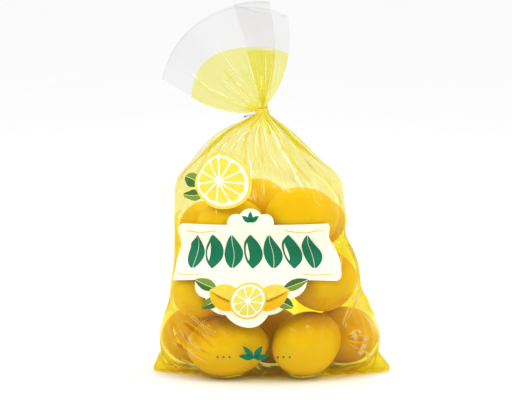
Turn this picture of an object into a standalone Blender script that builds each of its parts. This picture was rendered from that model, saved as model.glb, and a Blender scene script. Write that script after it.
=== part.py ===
"""A bag of lemons: fifteen lemons in a sealed bag of tinted film, gathered at the neck by a wire tie.

Metres, +Z up, the printed front towards -Y. The origin lies on the surface that the bag stands on,
under the middle of its bounding box. The bag is one closed solid out to its film, and the tie another.
"""

import math

import bmesh
import bpy
import numpy as np
from mathutils import Vector

MM = 0.001

# The bag's driving sizes
SEAL_HALF_WIDTH = 110 * MM  # the flat bottom seal runs from ear to ear
NECK_HEIGHT = 247 * MM  # where the tie holds the film together
NECK_X = -9 * MM
NECK_RADIUS = 5 * MM
NECK_BAND = 3 * MM  # the film stays this narrow so far below and above the middle of the tie
FLARE_LENGTH = 96 * MM  # film above the tie, measured from the tie to the open edge

# The film's own outline, without the lemons that push it out:
# height, left and right edge, half depth, squareness of the cross-section (2 is an ellipse)
OUTLINE = (
    (0 * MM, -SEAL_HALF_WIDTH, SEAL_HALF_WIDTH, 46 * MM, 1.35),
    (7 * MM, 1 * MM - SEAL_HALF_WIDTH, SEAL_HALF_WIDTH - 2 * MM, 52 * MM, 1.5),
    (16 * MM, -105 * MM, 101 * MM, 54 * MM, 1.9),
    (32 * MM, -106 * MM, 102 * MM, 55 * MM, 2.1),
    (56 * MM, -101 * MM, 87 * MM, 50 * MM, 2.2),
    (68 * MM, -97 * MM, 78 * MM, 50 * MM, 2.2),
    (84 * MM, -94 * MM, 82 * MM, 52 * MM, 2.3),
    (106 * MM, -92 * MM, 76 * MM, 50 * MM, 2.3),
    (130 * MM, -91 * MM, 69 * MM, 50 * MM, 2.3),
    (166 * MM, -91 * MM, 67 * MM, 46 * MM, 2.1),
    (190 * MM, -88 * MM, 61 * MM, 39 * MM, 1.9),
    (208 * MM, -75 * MM, 42 * MM, 30 * MM, 1.9),
    (228 * MM, -47 * MM, 17 * MM, 18 * MM, 2.0),
    (239 * MM, -23 * MM, 2 * MM, 9 * MM, 2.0),
    (NECK_HEIGHT - NECK_BAND, NECK_X - NECK_RADIUS, NECK_X + NECK_RADIUS, NECK_RADIUS, 2.0),
)

# Shoulder pleats, which run down from the tie and die out over the lemons
PLEATS = 12
PLEAT_START = 170 * MM
PLEAT_DEPTH = 0.3  # of the radius, at the tie

# The flare is a flattened fan: angles from +X, seen from the front
FLARE_RIGHT = (math.radians(44), math.radians(75))  # at the tie, at the open edge
FLARE_LEFT = (math.radians(200), math.radians(165))
FLARE_DROOP = 1.5  # how soon the left edge turns from its first angle to its last
FLARE_HALF_DEPTH = 15 * MM
FLARE_WAVES = 5
FLARE_WAVE_HEIGHT = 4 * MM

# The wire tie
WIRE_RADIUS = 0.7 * MM
WIRE_PITCH = 1.8 * MM
WIRE_GAP = 0.4 * MM
WIRE_TURNS = 1.5
TIE_LEFT_TAIL = Vector((-17 * MM, -2.5 * MM, -4 * MM))
TIE_RIGHT_TAIL = Vector((5.4 * MM, 1.5 * MM, 1.2 * MM))
TURN_POINTS = 30
TAIL_POINTS = 4

# The open edge is lower at the right, where the front panel drops sooner, as shares of the half width
EDGE_DROP = 10 * MM
FRONT_DROP = (0.1, 0.35)
BACK_DROP = (0.74, 0.82)

# Mesh density
RING_POINTS = 66
FOOT_RINGS = (0 * MM, 1.5 * MM, 4 * MM)
BODY_STEP = 6 * MM
FLARE_RINGS = 10

# Lemons: where each lies, its length and width, the heading of its tip about Z and the tip's rise
LEMONS = (
    # bottom layer
    ((-42, -27, 31), 79, 59, 0, 5),
    ((33, -27, 32), 72, 61, 32, 20),
    ((70, 29, 29), 68, 57, -12, 0),
    ((-72, 29, 29), 69, 58, 12, 4),
    ((-2, 29, 29), 70, 57, 175, 5),
    # middle layer
    ((-65, -21, 88), 69, 56, 240, -18),
    ((50, -24, 88), 67, 58, -12, 10),
    ((-9, -28, 94), 60, 50, 97, 12),
    ((-22, 31, 85), 66, 55, 5, -8),
    ((50, 31, 84), 65, 55, 15, 5),
    # top layer
    ((-37, -18, 146), 68, 56, 200, 8),
    ((29, -18, 152), 73, 57, 20, -8),
    ((-10, 27, 158), 64, 52, 150, 25),
    ((46, 32, 146), 60, 48, 60, 0),
    ((-62, 28, 138), 60, 50, 75, 10),
)
LEMON_DEPTH = 57 * MM  # lemons stay this near the bag's middle plane, front and back
LEMONS_TOP = 200 * MM
OUTLINE_NORMALS = 144
FINE_STEP = 2 * MM
GRAZING = 0.2  # cosine past which an outline's side is too oblique to count
FILM_CLEARANCE = 1.0 * MM
BRIDGE_SAG = 20.0  # per metre: how fast the film falls back above and below a lemon, as a parabola
FOOT_TUCK = 0.1  # near the floor the film tucks in under the lemons by this share
FOOT_HEIGHT = 12 * MM

# How the lemons are settled: each is taken as a few balls along its axis
BALLS = 5
BALL_REACH = 0.9
SETTLE_ROUNDS = 120
PUSH_PASSES = 4
HOME_PULL = 0.02  # share of the way back to its laid-out place, each round
SINK = 0.1 * MM  # each round

FILM_YELLOW = (0.90, 0.78, 0.16, 1)
WIRE_GREY = (0.72, 0.70, 0.70, 1)


def clear_scene():
    for obj in list(bpy.data.objects):
        bpy.data.objects.remove(obj)


def material(name, colour, roughness, metallic=0.0):
    made = bpy.data.materials.new(name)
    made.use_nodes = True
    shader = made.node_tree.nodes["Principled BSDF"]
    shader.inputs["Base Color"].default_value = colour
    shader.inputs["Roughness"].default_value = roughness
    shader.inputs["Metallic"].default_value = metallic
    made.diffuse_color = colour
    return made


def add_object(name, data, finish):
    obj = bpy.data.objects.new(name, data)
    obj.data.materials.append(finish)
    bpy.context.scene.collection.objects.link(obj)
    return obj


# --- Lemons -----------------------------------------------------------------------------------


def lemon_shapes():
    """Centres, axes, half lengths and half widths of the lemons as laid out, in metres."""
    centres = np.array([spot for spot, *_ in LEMONS], float) * MM
    sizes = np.array([(length, width) for _, length, width, _, _ in LEMONS], float) * MM / 2
    turns = np.radians([(heading, rise) for *_, heading, rise in LEMONS])
    axes = np.stack(
        [
            np.cos(turns[:, 0]) * np.cos(turns[:, 1]),
            np.sin(turns[:, 0]) * np.cos(turns[:, 1]),
            np.sin(turns[:, 1]),
        ],
        axis=1,
    )
    return centres, axes, sizes[:, 0], sizes[:, 1]


def settle(centres, axes, half_lengths, half_widths):
    """Moves lemons that overlap apart and lets them sink, within the film's own outline."""
    focal = half_lengths**2 - half_widths**2
    offsets = np.linspace(-BALL_REACH, BALL_REACH, BALLS)[None, :] * (focal / half_lengths)[:, None]
    balls = half_widths[:, None] * np.sqrt(1 - offsets**2 / focal[:, None])
    home = centres.copy()
    centres = centres.copy()
    for _ in range(SETTLE_ROUNDS):
        centres += HOME_PULL * (home - centres)
        centres[:, 2] -= SINK
        for _ in range(PUSH_PASSES):
            spots = centres[:, None, :] + offsets[:, :, None] * axes[:, None, :]
            for i in range(len(centres)):
                for j in range(i):
                    apart = spots[i][:, None, :] - spots[j][None, :, :]
                    far = np.linalg.norm(apart, axis=2)
                    deep = balls[i][:, None] + balls[j][None, :] - far
                    worst = np.unravel_index(np.argmax(deep), deep.shape)
                    if deep[worst] > 0:
                        push = apart[worst] / far[worst] * deep[worst] / 2
                        centres[i] += push
                        centres[j] -= push
                        spots[i] += push
                        spots[j] -= push
            lowest = (spots[:, :, 2] - balls).min(axis=1) - FILM_CLEARANCE
            centres[:, 2] -= np.minimum(lowest, 0)
            centres[:, 1] -= np.minimum((spots[:, :, 1] - balls).min(axis=1) + LEMON_DEPTH, 0)
            centres[:, 1] -= np.maximum((spots[:, :, 1] + balls).max(axis=1) - LEMON_DEPTH, 0)
            left, right = smooth_table(centres[:, 2], OUTLINE).T[:2]
            centres[:, 0] -= np.minimum((spots[:, :, 0] - balls).min(axis=1) - left, 0)
            centres[:, 0] -= np.maximum((spots[:, :, 0] + balls).max(axis=1) - right, 0)
    return centres


def film_over_lemons(heights, angles, axis_x, lemons):
    """How far from the upright line at axis_x the film must stand, at each height and angle.

    Each level is the tight outline round the lemons' slices. Between levels the film bridges
    from lemon to lemon, falling back along a parabola."""
    centres, axes, half_lengths, half_widths = lemons
    normals = np.linspace(0, 2 * math.pi, OUTLINE_NORMALS, endpoint=False)
    n = np.stack([np.cos(normals), np.sin(normals)], axis=1)
    fine = np.arange(0, LEMONS_TOP, FINE_STEP)
    support = np.full((len(fine), len(normals)), -1.0)
    for centre, axis, half_length, half_width in zip(centres, axes, half_lengths, half_widths):
        q = half_width**2 * np.eye(3) + (half_length**2 - half_width**2) * np.outer(axis, axis)
        rise = fine - centre[2]
        inside = 1 - rise**2 / q[2, 2]
        level = inside > 0
        middle = centre[:2] + np.outer(rise[level] / q[2, 2], q[:2, 2])
        slice_shape = q[:2, :2] - np.outer(q[:2, 2], q[:2, 2]) / q[2, 2]
        reach = np.sqrt(np.einsum("ij,jk,ik->i", n, slice_shape, n))
        found = middle @ n.T + np.sqrt(inside[level])[:, None] * reach + FILM_CLEARANCE
        support[level] = np.maximum(support[level], found)
    away = heights[:, None] - fine[None, :]
    bridged = (support[None] - BRIDGE_SAG * away[:, :, None] ** 2).max(axis=1)
    bridged -= axis_x[:, None] * n[None, :, 0]
    turn = angles[:, :, None] - normals[None, None, :]
    facing = np.cos(turn)
    reach = np.where(facing > GRAZING, bridged[:, None, :] / np.maximum(facing, GRAZING), np.inf)
    return reach.min(axis=2)


# --- Bag --------------------------------------------------------------------------------------


def smooth_table(heights, rows):
    """The rows' values at these heights, as a Catmull-Rom curve through the rows."""
    rows = np.array(rows, float)
    knots = rows[:, 0]
    slopes = np.gradient(rows[:, 1:], knots, axis=0)
    k = np.clip(np.searchsorted(knots, heights, side="right") - 1, 0, len(knots) - 2)
    span = (knots[k + 1] - knots[k])[:, None]
    s = ((heights - knots[k]) / span[:, 0])[:, None]
    return (
        (2 * s**3 - 3 * s**2 + 1) * rows[k, 1:]
        + (s**3 - 2 * s**2 + s) * span * slopes[k]
        + (3 * s**2 - 2 * s**3) * rows[k + 1, 1:]
        + (s**3 - s**2) * span * slopes[k + 1]
    )


def smoothstep(value, low, high):
    s = np.clip((value - low) / (high - low), 0, 1)
    return s * s * (3 - 2 * s)


def pleat_wave(turn):
    """From 0 on a ridge to 1 in a fold, unevenly spaced round the neck, with a ridge at each side."""
    uneven = PLEATS * turn + 0.9 * np.sin(2 * turn) + 0.5 * np.sin(5 * turn)
    return 0.5 - 0.5 * np.cos(uneven)


def body_rings(turn, lemons):
    """Level rings of points from the floor to the tie."""
    top = NECK_HEIGHT - NECK_BAND
    count = round(top / BODY_STEP)
    heights = np.concatenate([FOOT_RINGS, np.linspace(2 * FOOT_RINGS[-1], top, count)])
    left, right, depth, square = smooth_table(heights, OUTLINE).T
    middle, width = (left + right) / 2, (right - left) / 2
    c, s = np.cos(turn)[None, :], np.sin(turn)[None, :]
    power = (2 / square)[:, None]
    x = width[:, None] * np.sign(c) * np.abs(c) ** power
    y = depth[:, None] * np.sign(s) * np.abs(s) ** power
    angles = np.arctan2(y, x)
    own = np.hypot(x, y)
    pushed = film_over_lemons(heights, angles, middle, lemons)
    pushed *= 1 - FOOT_TUCK * (1 - smoothstep(heights, 0, FOOT_HEIGHT))[:, None]
    reach = np.maximum(own, pushed)
    fold = pleat_wave(turn)[None, :]
    reach *= 1 - PLEAT_DEPTH * smoothstep(heights, PLEAT_START, NECK_HEIGHT)[:, None] * fold
    return np.stack(
        [
            middle[:, None] + reach * np.cos(angles),
            reach * np.sin(angles),
            np.broadcast_to(heights[:, None], reach.shape),
        ],
        axis=2,
    )


def flare_length(turn):
    """The film's length above the tie. At the right the open edge is lower, sooner on the front panel."""
    across = np.cos(turn)
    front = EDGE_DROP * smoothstep(across, *FRONT_DROP) * (np.sin(turn) <= 0)
    back = EDGE_DROP * smoothstep(across, *BACK_DROP) * (np.sin(turn) > 0)
    return FLARE_LENGTH - front - back


def flare_rings(turn):
    """Rings of points from the tie to the open edge of the film, which fans out to the left."""
    shares = np.linspace(0, 1, FLARE_RINGS + 1)[1:, None] ** 1.15
    across = np.cos(turn)[None, :]
    right = FLARE_RIGHT[0] + (FLARE_RIGHT[1] - FLARE_RIGHT[0]) * shares
    left = FLARE_LEFT[1] + (FLARE_LEFT[0] - FLARE_LEFT[1]) * (1 - shares) ** FLARE_DROOP
    angle = (left + right) / 2 - (left - right) / 2 * across
    reach = flare_length(turn)[None, :] * shares
    open_up = smoothstep(shares, 0, 0.25)
    neck_x = NECK_RADIUS * across * (1 - open_up)
    x = NECK_X + neck_x + reach * np.cos(angle)
    z = NECK_HEIGHT + NECK_BAND + reach * np.sin(angle)
    lens = np.sin(turn)[None, :]
    y = lens * (NECK_RADIUS + (FLARE_HALF_DEPTH - NECK_RADIUS) * shares)
    y = y + FLARE_WAVE_HEIGHT * shares * np.sin(FLARE_WAVES * across + 0.7)
    return np.stack([x, y, z], axis=2)


def bag_mesh():
    turn = np.linspace(0, 2 * math.pi, RING_POINTS, endpoint=False)
    centres, axes, half_lengths, half_widths = lemon_shapes()
    lemons = (settle(centres, axes, half_lengths, half_widths), axes, half_lengths, half_widths)
    body = body_rings(turn, lemons)
    neck = body[-1:] + (0, 0, 2 * NECK_BAND)
    rings = np.concatenate([body, neck, flare_rings(turn)])
    mesh = bmesh.new()
    made = [[mesh.verts.new(point) for point in ring] for ring in rings]
    for lower, upper in zip(made, made[1:]):
        for i in range(RING_POINTS):
            j = (i + 1) % RING_POINTS
            mesh.faces.new((lower[i], lower[j], upper[j], upper[i]))
    mesh.faces.new(made[0][::-1])
    top = mesh.verts.new(np.mean(rings[-1], axis=0))
    for i in range(RING_POINTS):
        mesh.faces.new((made[-1][i], made[-1][(i + 1) % RING_POINTS], top))
    bmesh.ops.recalc_face_normals(mesh, faces=mesh.faces)
    data = bpy.data.meshes.new("bag")
    mesh.to_mesh(data)
    mesh.free()
    data.shade_smooth()
    return data


# --- Tie --------------------------------------------------------------------------------------


def tie_curve():
    """One wire: its right tail, one and a half turns round the neck from the back, and its left tail."""
    radius = NECK_RADIUS + WIRE_GAP + WIRE_RADIUS
    turns = np.linspace(0, WIRE_TURNS, TURN_POINTS)
    angles = math.pi / 2 + 2 * math.pi * turns
    coil = [
        Vector((NECK_X + radius * math.cos(angle), radius * math.sin(angle), NECK_HEIGHT - drop))
        for angle, drop in zip(angles, WIRE_PITCH * (turns - WIRE_TURNS / 2))
    ]
    shares = np.linspace(0, 1, TAIL_POINTS + 1)[1:]
    right = [coil[0] + TIE_RIGHT_TAIL * share for share in shares[::-1]]
    left = [coil[-1] + TIE_LEFT_TAIL * share for share in shares]
    points = right + coil + left
    data = bpy.data.curves.new("tie", "CURVE")
    data.dimensions = "3D"
    data.bevel_depth = WIRE_RADIUS
    data.bevel_resolution = 2
    data.use_fill_caps = True
    spline = data.splines.new("POLY")
    spline.points.add(len(points) - 1)
    for target, point in zip(spline.points, points):
        target.co = (*point, 1)
    return data


def main():
    clear_scene()
    add_object("bag", bag_mesh(), material("film", FILM_YELLOW, 0.2))
    add_object("tie", tie_curve(), material("wire", WIRE_GREY, 0.35))


main()
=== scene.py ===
"""A bag of lemons: fifteen lemons in a tied bag of yellow-tinted clear film with a printed front.

The film starts as the CAD bag's own surface. A small cloth solver then gives it its real slack
and lays it against the lemons. Prints are thin pieces of ink that follow the film.
"""

import math

import bmesh
import bpy
import numpy as np
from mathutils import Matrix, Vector
from mathutils.bvhtree import BVHTree
from mathutils.geometry import barycentric_transform


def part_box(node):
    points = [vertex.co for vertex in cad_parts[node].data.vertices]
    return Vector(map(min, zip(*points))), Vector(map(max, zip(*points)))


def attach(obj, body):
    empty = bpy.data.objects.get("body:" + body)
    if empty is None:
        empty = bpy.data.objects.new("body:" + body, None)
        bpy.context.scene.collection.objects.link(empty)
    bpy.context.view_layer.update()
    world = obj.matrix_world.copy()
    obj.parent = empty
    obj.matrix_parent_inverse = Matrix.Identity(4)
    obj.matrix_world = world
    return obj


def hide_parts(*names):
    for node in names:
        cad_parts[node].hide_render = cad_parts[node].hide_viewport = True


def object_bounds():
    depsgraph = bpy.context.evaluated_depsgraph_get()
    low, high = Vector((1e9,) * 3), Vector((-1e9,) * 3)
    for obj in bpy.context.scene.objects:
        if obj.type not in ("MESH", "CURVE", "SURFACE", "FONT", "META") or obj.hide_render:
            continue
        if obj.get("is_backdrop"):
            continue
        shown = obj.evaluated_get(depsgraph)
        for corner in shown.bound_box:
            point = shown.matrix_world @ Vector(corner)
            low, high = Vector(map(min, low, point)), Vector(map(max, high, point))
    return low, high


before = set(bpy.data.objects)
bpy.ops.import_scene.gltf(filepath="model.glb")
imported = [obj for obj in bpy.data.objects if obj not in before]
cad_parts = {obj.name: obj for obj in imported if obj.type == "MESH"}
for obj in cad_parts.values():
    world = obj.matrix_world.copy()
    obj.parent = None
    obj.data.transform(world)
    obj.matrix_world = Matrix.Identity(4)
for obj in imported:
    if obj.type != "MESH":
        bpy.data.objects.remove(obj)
CAD_LOW, CAD_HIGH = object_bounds()

MM = 0.001

# --- Sizes shared with the CAD ---
SEAL_HALF_WIDTH = CAD_HIGH.x
NECK_X = -9 * MM
NECK_HEIGHT = 247 * MM
NECK_BAND = 3 * MM
DARK_TIP = 2.5 * MM  # of the wire tie
COIL_START = NECK_X - 6.8 * MM

# where each lemon lies, its length and width, the heading of its tip about Z and the tip's rise
LEMONS = (
    # bottom layer
    ((-42, -27, 31), 79, 59, 0, 5),
    ((33, -27, 32), 72, 61, 32, 20),
    ((70, 29, 29), 68, 57, -12, 0),
    ((-72, 29, 29), 69, 58, 12, 4),
    ((-2, 29, 29), 70, 57, 175, 5),
    # middle layer
    ((-65, -21, 88), 69, 56, 240, -18),
    ((50, -24, 88), 67, 58, -12, 10),
    ((-9, -28, 94), 60, 50, 97, 12),
    ((-22, 31, 85), 66, 55, 5, -8),
    ((50, 31, 84), 65, 55, 15, 5),
    # top layer
    ((-37, -18, 146), 68, 56, 200, 8),
    ((29, -18, 152), 73, 57, 20, -8),
    ((-10, 27, 158), 64, 52, 150, 25),
    ((46, 32, 146), 60, 48, 60, 0),
    ((-62, 28, 138), 60, 50, 75, 10),
)
LEMON_DEPTH = 57 * MM  # lemons stay this near the bag's middle plane, front and back
LEMON_CLEARANCE = 1 * MM  # above the floor
BALLS = 5  # that stand for each lemon while it settles
BALL_REACH = 0.9
SETTLE_ROUNDS = 120
PUSH_PASSES = 4
HOME_PULL = 0.02  # share of the way back to its laid-out place, each round
SINK = 0.1 * MM  # each round

# the film's own left and right edges at some heights, in millimetres, which keep the lemons in
SIDES = (
    (0, -110, 110),
    (32, -106, 102),
    (56, -101, 87),
    (68, -97, 78),
    (84, -94, 82),
    (106, -92, 76),
    (166, -91, 67),
    (190, -88, 61),
)

# --- Film ---
FILM_COLUMNS = 320  # from the +X side, round the back, the -X side and the front
BODY_ROWS = 160  # from the bottom seal to the tie
FLARE_ROWS = 56
TINTED_ROWS = 36  # of the rows above the tie
PLEATS = 64
FLARE_PLEATS = 26
FLARE_GATHERS = 46  # strips of denser film that run down out of the fan
NECK_FOLDS = 70  # strips of folded film at the tie
# number of painted highlight strips down from the tie, and as many again up into the fan
GLINTS = 18
FLAT_GIRTH = 545 * MM  # the film's girth where nothing gathers it
FLOOR = 0.4 * MM
SEAL_TOP = 5 * MM
FOOT_DEPTH = 0.58  # of the film at its seal, as a share of the CAD's
SHOULDER_TUCK = 0.1  # how much nearer the neck the shoulders are than the CAD's
FILM_REST = 0.8 * MM  # how far off a lemon's oval the film lies
FREE = 1.2  # film beyond this share of every lemon's oval, squared, hangs free
FOLDED_TOP = 148 * MM  # free film is folded below this
FOLDED_ASIDE = 28 * MM  # and on the front, so far from the film's middle
FILM_MIDDLE = -6 * MM
LARGEST_JUMP = 7  # cells between two points of a crease
SAG = 0.14  # of the prints' level lines, for each unit that the film turns back

# how the film relaxes on its coarse, middle and fine grids
RELAX_ROUNDS = (700, 400, 260)
NEAR_ROUNDS = 25  # between two lists of the points near each lemon
SHEAR = 0.25
BEND = 0.06
SPEED_KEPT = 0.85
SPEED_GAIN = 0.45

# how strongly the film is drawn to the CAD surface at some heights in millimetres
PULL = ((0, 0.004), (165, 0.004), (195, 0.15))

# what each face of the film is, as the index of its material
TINTED, CLEAR, GATHERED, EDGE, FOLDED = range(5)

# the film's slack round the bag at some heights in millimetres; below zero it is stretched
SLACK = ((0, 0.0), (40, -0.01), (100, -0.02), (150, -0.01), (185, 0.0), (240, 0.0))

# fans of creases on the front, in millimetres right of the middle and above the floor: where the
# first and the last line start and end, their number, width and height, and the look of the painted
# highlight along them (golden ones also get a strip of painted shade beside them)
CREASE_FANS = (
    ((-50, 44), (-64, 6), (-84, 76), (-104, 13), 6, 2.2, 0.9, "golden"),
    ((67, 45), (68, 37), (86, 63), (99, 15), 5, 2.4, 0.1, "golden"),
    ((63, 47), (67, 48), (76, 92), (83, 88), 3, 1.6, 0.7, "golden"),
    ((-5, 238), (1, 239), (34, 170), (56, 204), 4, 1.2, 0.9, "white"),
    ((-16, 238), (-12, 236), (-62, 206), (-46, 208), 2, 1.2, 0.8, "white"),
)

# directions of the open edge's two sides from +X, in degrees, and the shares of the way round
# where its front folds on itself
FAN_RIGHT, FAN_LEFT = 75, 163
FAN_FOLDS = (0.75, 0.805)

# the open edge above the tie: share of the way round, direction from +X in degrees, length beyond
# the tie, length of the tinted part and depth behind the fan's middle, in millimetres
FLARE_EDGE = (
    (0.00, FAN_RIGHT, 90, 57, 0),
    (0.25, 108, 99, 60, 9),
    (0.40, 140, 100, 70, 8),
    (0.485, FAN_LEFT, 97, 67, 2),
    (0.515, FAN_LEFT, 97, 67, -2),
    (0.60, 143, 100, 70, -8),
    (0.68, 120, 101, 65, -10),
    (0.735, 87, 101, 55, -10),
    (FAN_FOLDS[0], 86, 101, 55, -12),
    (0.79, 105, 102, 57, -13),
    (FAN_FOLDS[1], 106, 102, 57, -15),
    (0.86, 92, 91, 56, -15),
    (0.93, 83, 90, 57, -8),
    (1.00, FAN_RIGHT, 90, 57, 0),
)

# --- Prints, on the front, in millimetres right of its middle and above the floor ---
PANEL_MIDDLE = (-15, 122)
PANEL_WIDTH = 167
PANEL_HEIGHT = 50
ROUNDEL_MIDDLE = (-41, 188)
FOOT_HEIGHT = 24

# each ink's colour and material slot
INKS = {
    "cream": ((0.90, 0.865, 0.69), "print_cream"),
    "white": ((0.92, 0.92, 0.86), "print_cream"),
    "green": ((0.003, 0.16, 0.068), "print_green"),
    "gold": ((0.80, 0.58, 0.10), "print_yellow"),
    "lemon": ((0.80, 0.62, 0.06), "print_yellow"),
    "pale": ((0.80, 0.70, 0.11), "print_yellow"),
    "shade": ((0.84, 0.46, 0.004), "print_yellow"),
    "leaf_dark": ((0.05, 0.14, 0.018), "print_green"),
    "leaf_light": ((0.17, 0.28, 0.03), "print_green"),
}

# --- Light and camera, in metres, watts and degrees ---
WORLD_BRIGHT = 1.22
WORLD_DIM = 0.5  # towards DIM_WAY
DIM_WAY = (0, -0.97, 0.25)
BOX_AIM = (0, 0, 0.15)
SOFT_BOXES = (
    ("left_box", (-0.8, -0.9, 1.3), (0.2, 1.2), 8.5),
    ("right_box", (1.0, -0.75, 1.2), (0.14, 1.2), 6),
    ("top_box", (0.15, -0.5, 1.6), (0.14, 0.9), 3),
)
CAMERA_LENS = 151
CAMERA_FAR = 2.0
CAMERA_RISE = 8
CAMERA_AIM = (-0.0149, 0, 0.1629)


def smoothstep(value, low, high):
    share = np.clip((value - low) / (high - low), 0, 1)
    return share * share * (3 - 2 * share)


def hump(value, width):
    return np.exp(-((value / width) ** 2))


# --- Building blocks ---


def mesh_piece(name, points, faces, materials, face_materials=None, slot="film"):
    """A smooth mesh object that rides on the bag's body and stands in for the CAD bag."""
    data = bpy.data.meshes.new(name)
    data.from_pydata([tuple(point) for point in points], [], [tuple(face) for face in faces])
    for material in materials:
        data.materials.append(material)
    if face_materials is not None:
        data.polygons.foreach_set("material_index", np.asarray(face_materials, np.int32))
    data.shade_smooth()
    data.update()
    piece = add_object(name, data)
    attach(piece, "root")
    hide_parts("bag")
    return piece


def add_object(name, data):
    made = bpy.data.objects.new(name, data)
    bpy.context.scene.collection.objects.link(made)
    return made


class Nodes:
    """A node tree whose nodes are made and linked in one line each."""

    def __init__(self, tree):
        self.tree = tree

    def node(self, kind, inputs=None, **settings):
        made = self.tree.nodes.new(kind)
        for key, value in settings.items():
            setattr(made, key, value)
        for key, value in (inputs or {}).items():
            self.put(made.inputs[key], value)
        return made

    def put(self, socket, value):
        if isinstance(value, bpy.types.NodeSocket):
            self.tree.links.new(value, socket)
        else:
            socket.default_value = value

    def ranged(self, value, low=0.0, high=1.0, least=0.0, most=1.0, **settings):
        """The value's share of the way from low to high, taken from least to most."""
        ends = {"Value": value, "From Min": low, "From Max": high, "To Min": least, "To Max": most}
        return self.node("ShaderNodeMapRange", ends, **settings).outputs["Result"]


class Shader(Nodes):
    """A new material's nodes."""

    def __init__(self, name):
        self.material = bpy.data.materials.new(name)
        self.material.use_nodes = True
        super().__init__(self.material.node_tree)
        self.surface = self.tree.nodes["Principled BSDF"]

    def set(self, **values):
        for key, value in values.items():
            self.put(self.surface.inputs[key.replace("_", " ")], value)

    def place(self):
        return self.node("ShaderNodeTexCoord").outputs["Object"]

    def noise(self, scale, detail=3.0):
        inputs = {"Scale": scale, "Detail": detail, "Vector": self.place()}
        return self.node("ShaderNodeTexNoise", inputs).outputs["Fac"]

    def ramp(self, fac, *stops):
        made = self.node("ShaderNodeValToRGB", {"Fac": fac})
        for element, (place, colour) in zip(made.color_ramp.elements, stops):
            element.position = place
            element.color = colour
        return made.outputs["Color"]

    def mixed(self, share, first, second):
        inputs = {"Factor": share, 6: first, 7: second}
        return self.node("ShaderNodeMix", inputs, data_type="RGBA").outputs[2]

    def bump(self, height, strength, distance):
        inputs = {"Height": height, "Strength": strength, "Distance": distance}
        return self.node("ShaderNodeBump", inputs).outputs["Normal"]

    def over_clear(self, tint, share):
        """Mixes this share of the surface over clear film of this tint."""
        clear = self.node("ShaderNodeBsdfTransparent", {"Color": tint}).outputs["BSDF"]
        inputs = {"Fac": share, 1: clear, 2: self.surface.outputs["BSDF"]}
        made = self.node("ShaderNodeMixShader", inputs).outputs["Shader"]
        self.put(self.tree.nodes["Material Output"].inputs["Surface"], made)
        return self.material


def grey(value):
    return (value, value, value, 1)


# --- Materials ---


def film_material(name, tint, mirror, sheen):
    """Clear film: light passes through it tinted, and it mirrors a little, more at a slant."""
    shader = Shader(name)
    shader.set(Base_Color=mirror, Roughness=0.1, Metallic=1.0)
    slant = shader.node("ShaderNodeFresnel", {"IOR": 1.5}).outputs["Fac"]
    return shader.over_clear(tint, shader.ranged(slant, high=0.5, most=sheen))


def highlight_strip_material(name, colour, least, most, metallic):
    """A painted highlight: a bright strip along a sharp crease in film, mixed over clear film."""
    shader = Shader(name)
    shader.set(Base_Color=colour, Roughness=0.3, Metallic=metallic, Specular_IOR_Level=0.2)
    share = shader.ramp(shader.noise(70.0), (0.35, grey(least)), (0.7, grey(most)))
    return shader.over_clear((1, 1, 0.97, 1), share)


def peel_material():
    shader = Shader("lemon_peel")
    patches = shader.noise(22.0)
    colour = shader.ramp(patches, (0.35, (0.77, 0.475, 0.0, 1)), (0.65, (0.87, 0.56, 0.0, 1)))
    pores = shader.node("ShaderNodeTexVoronoi", {"Scale": 620.0, "Vector": shader.place()})
    shader.set(
        Base_Color=colour,
        Roughness=0.42,
        Specular_IOR_Level=0.1,
        Subsurface_Weight=0.15,
        Subsurface_Scale=0.004,
        Normal=shader.bump(pores.outputs["Distance"], 0.25, 0.0004),
    )
    return shader.material


# --- Lemons ---


def lemon_shapes():
    """Centres, axes, half lengths and half widths of the lemons as laid out, in metres."""
    spots, *others = zip(*LEMONS)
    lengths, widths, headings, rises = np.array(others, float)
    turn, rise = np.radians(headings), np.radians(rises)
    level = np.cos(rise)
    axes = np.stack([np.cos(turn) * level, np.sin(turn) * level, np.sin(rise)], axis=1)
    return np.array(spots, float) * MM, axes, lengths * MM / 2, widths * MM / 2


def settle(centres, axes, half_lengths, half_widths):
    """Moves lemons that overlap apart and lets them sink, each taken as balls along its axis."""
    focal = half_lengths**2 - half_widths**2
    offsets = np.linspace(-BALL_REACH, BALL_REACH, BALLS) * (focal / half_lengths)[:, None]
    balls = half_widths[:, None] * np.sqrt(1 - offsets**2 / focal[:, None])
    heights, lefts, rights = np.array(SIDES, float).T * MM
    home = centres.copy()
    centres = centres.copy()
    for _ in range(SETTLE_ROUNDS):
        centres += HOME_PULL * (home - centres)
        centres[:, 2] -= SINK
        for _ in range(PUSH_PASSES):
            spots = centres[:, None, :] + offsets[:, :, None] * axes[:, None, :]
            for i in range(len(centres)):
                for j in range(i):
                    apart = spots[i][:, None, :] - spots[j][None, :, :]
                    far = np.linalg.norm(apart, axis=2)
                    deep = balls[i][:, None] + balls[j][None, :] - far
                    worst = np.unravel_index(np.argmax(deep), deep.shape)
                    if deep[worst] > 0:
                        push = apart[worst] / far[worst] * deep[worst] / 2
                        centres[i] += push
                        centres[j] -= push
                        spots[i] += push
                        spots[j] -= push
            low = (spots - balls[:, :, None]).min(axis=1)
            high = (spots + balls[:, :, None]).max(axis=1)
            centres[:, 2] -= np.minimum(low[:, 2] - LEMON_CLEARANCE, 0)
            centres[:, 1] -= np.minimum(low[:, 1] + LEMON_DEPTH, 0)
            centres[:, 1] -= np.maximum(high[:, 1] - LEMON_DEPTH, 0)
            left = np.interp(centres[:, 2], heights, lefts)
            right = np.interp(centres[:, 2], heights, rights)
            centres[:, 0] -= np.minimum(low[:, 0] - left, 0)
            centres[:, 0] -= np.maximum(high[:, 0] - right, 0)
    return centres


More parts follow.
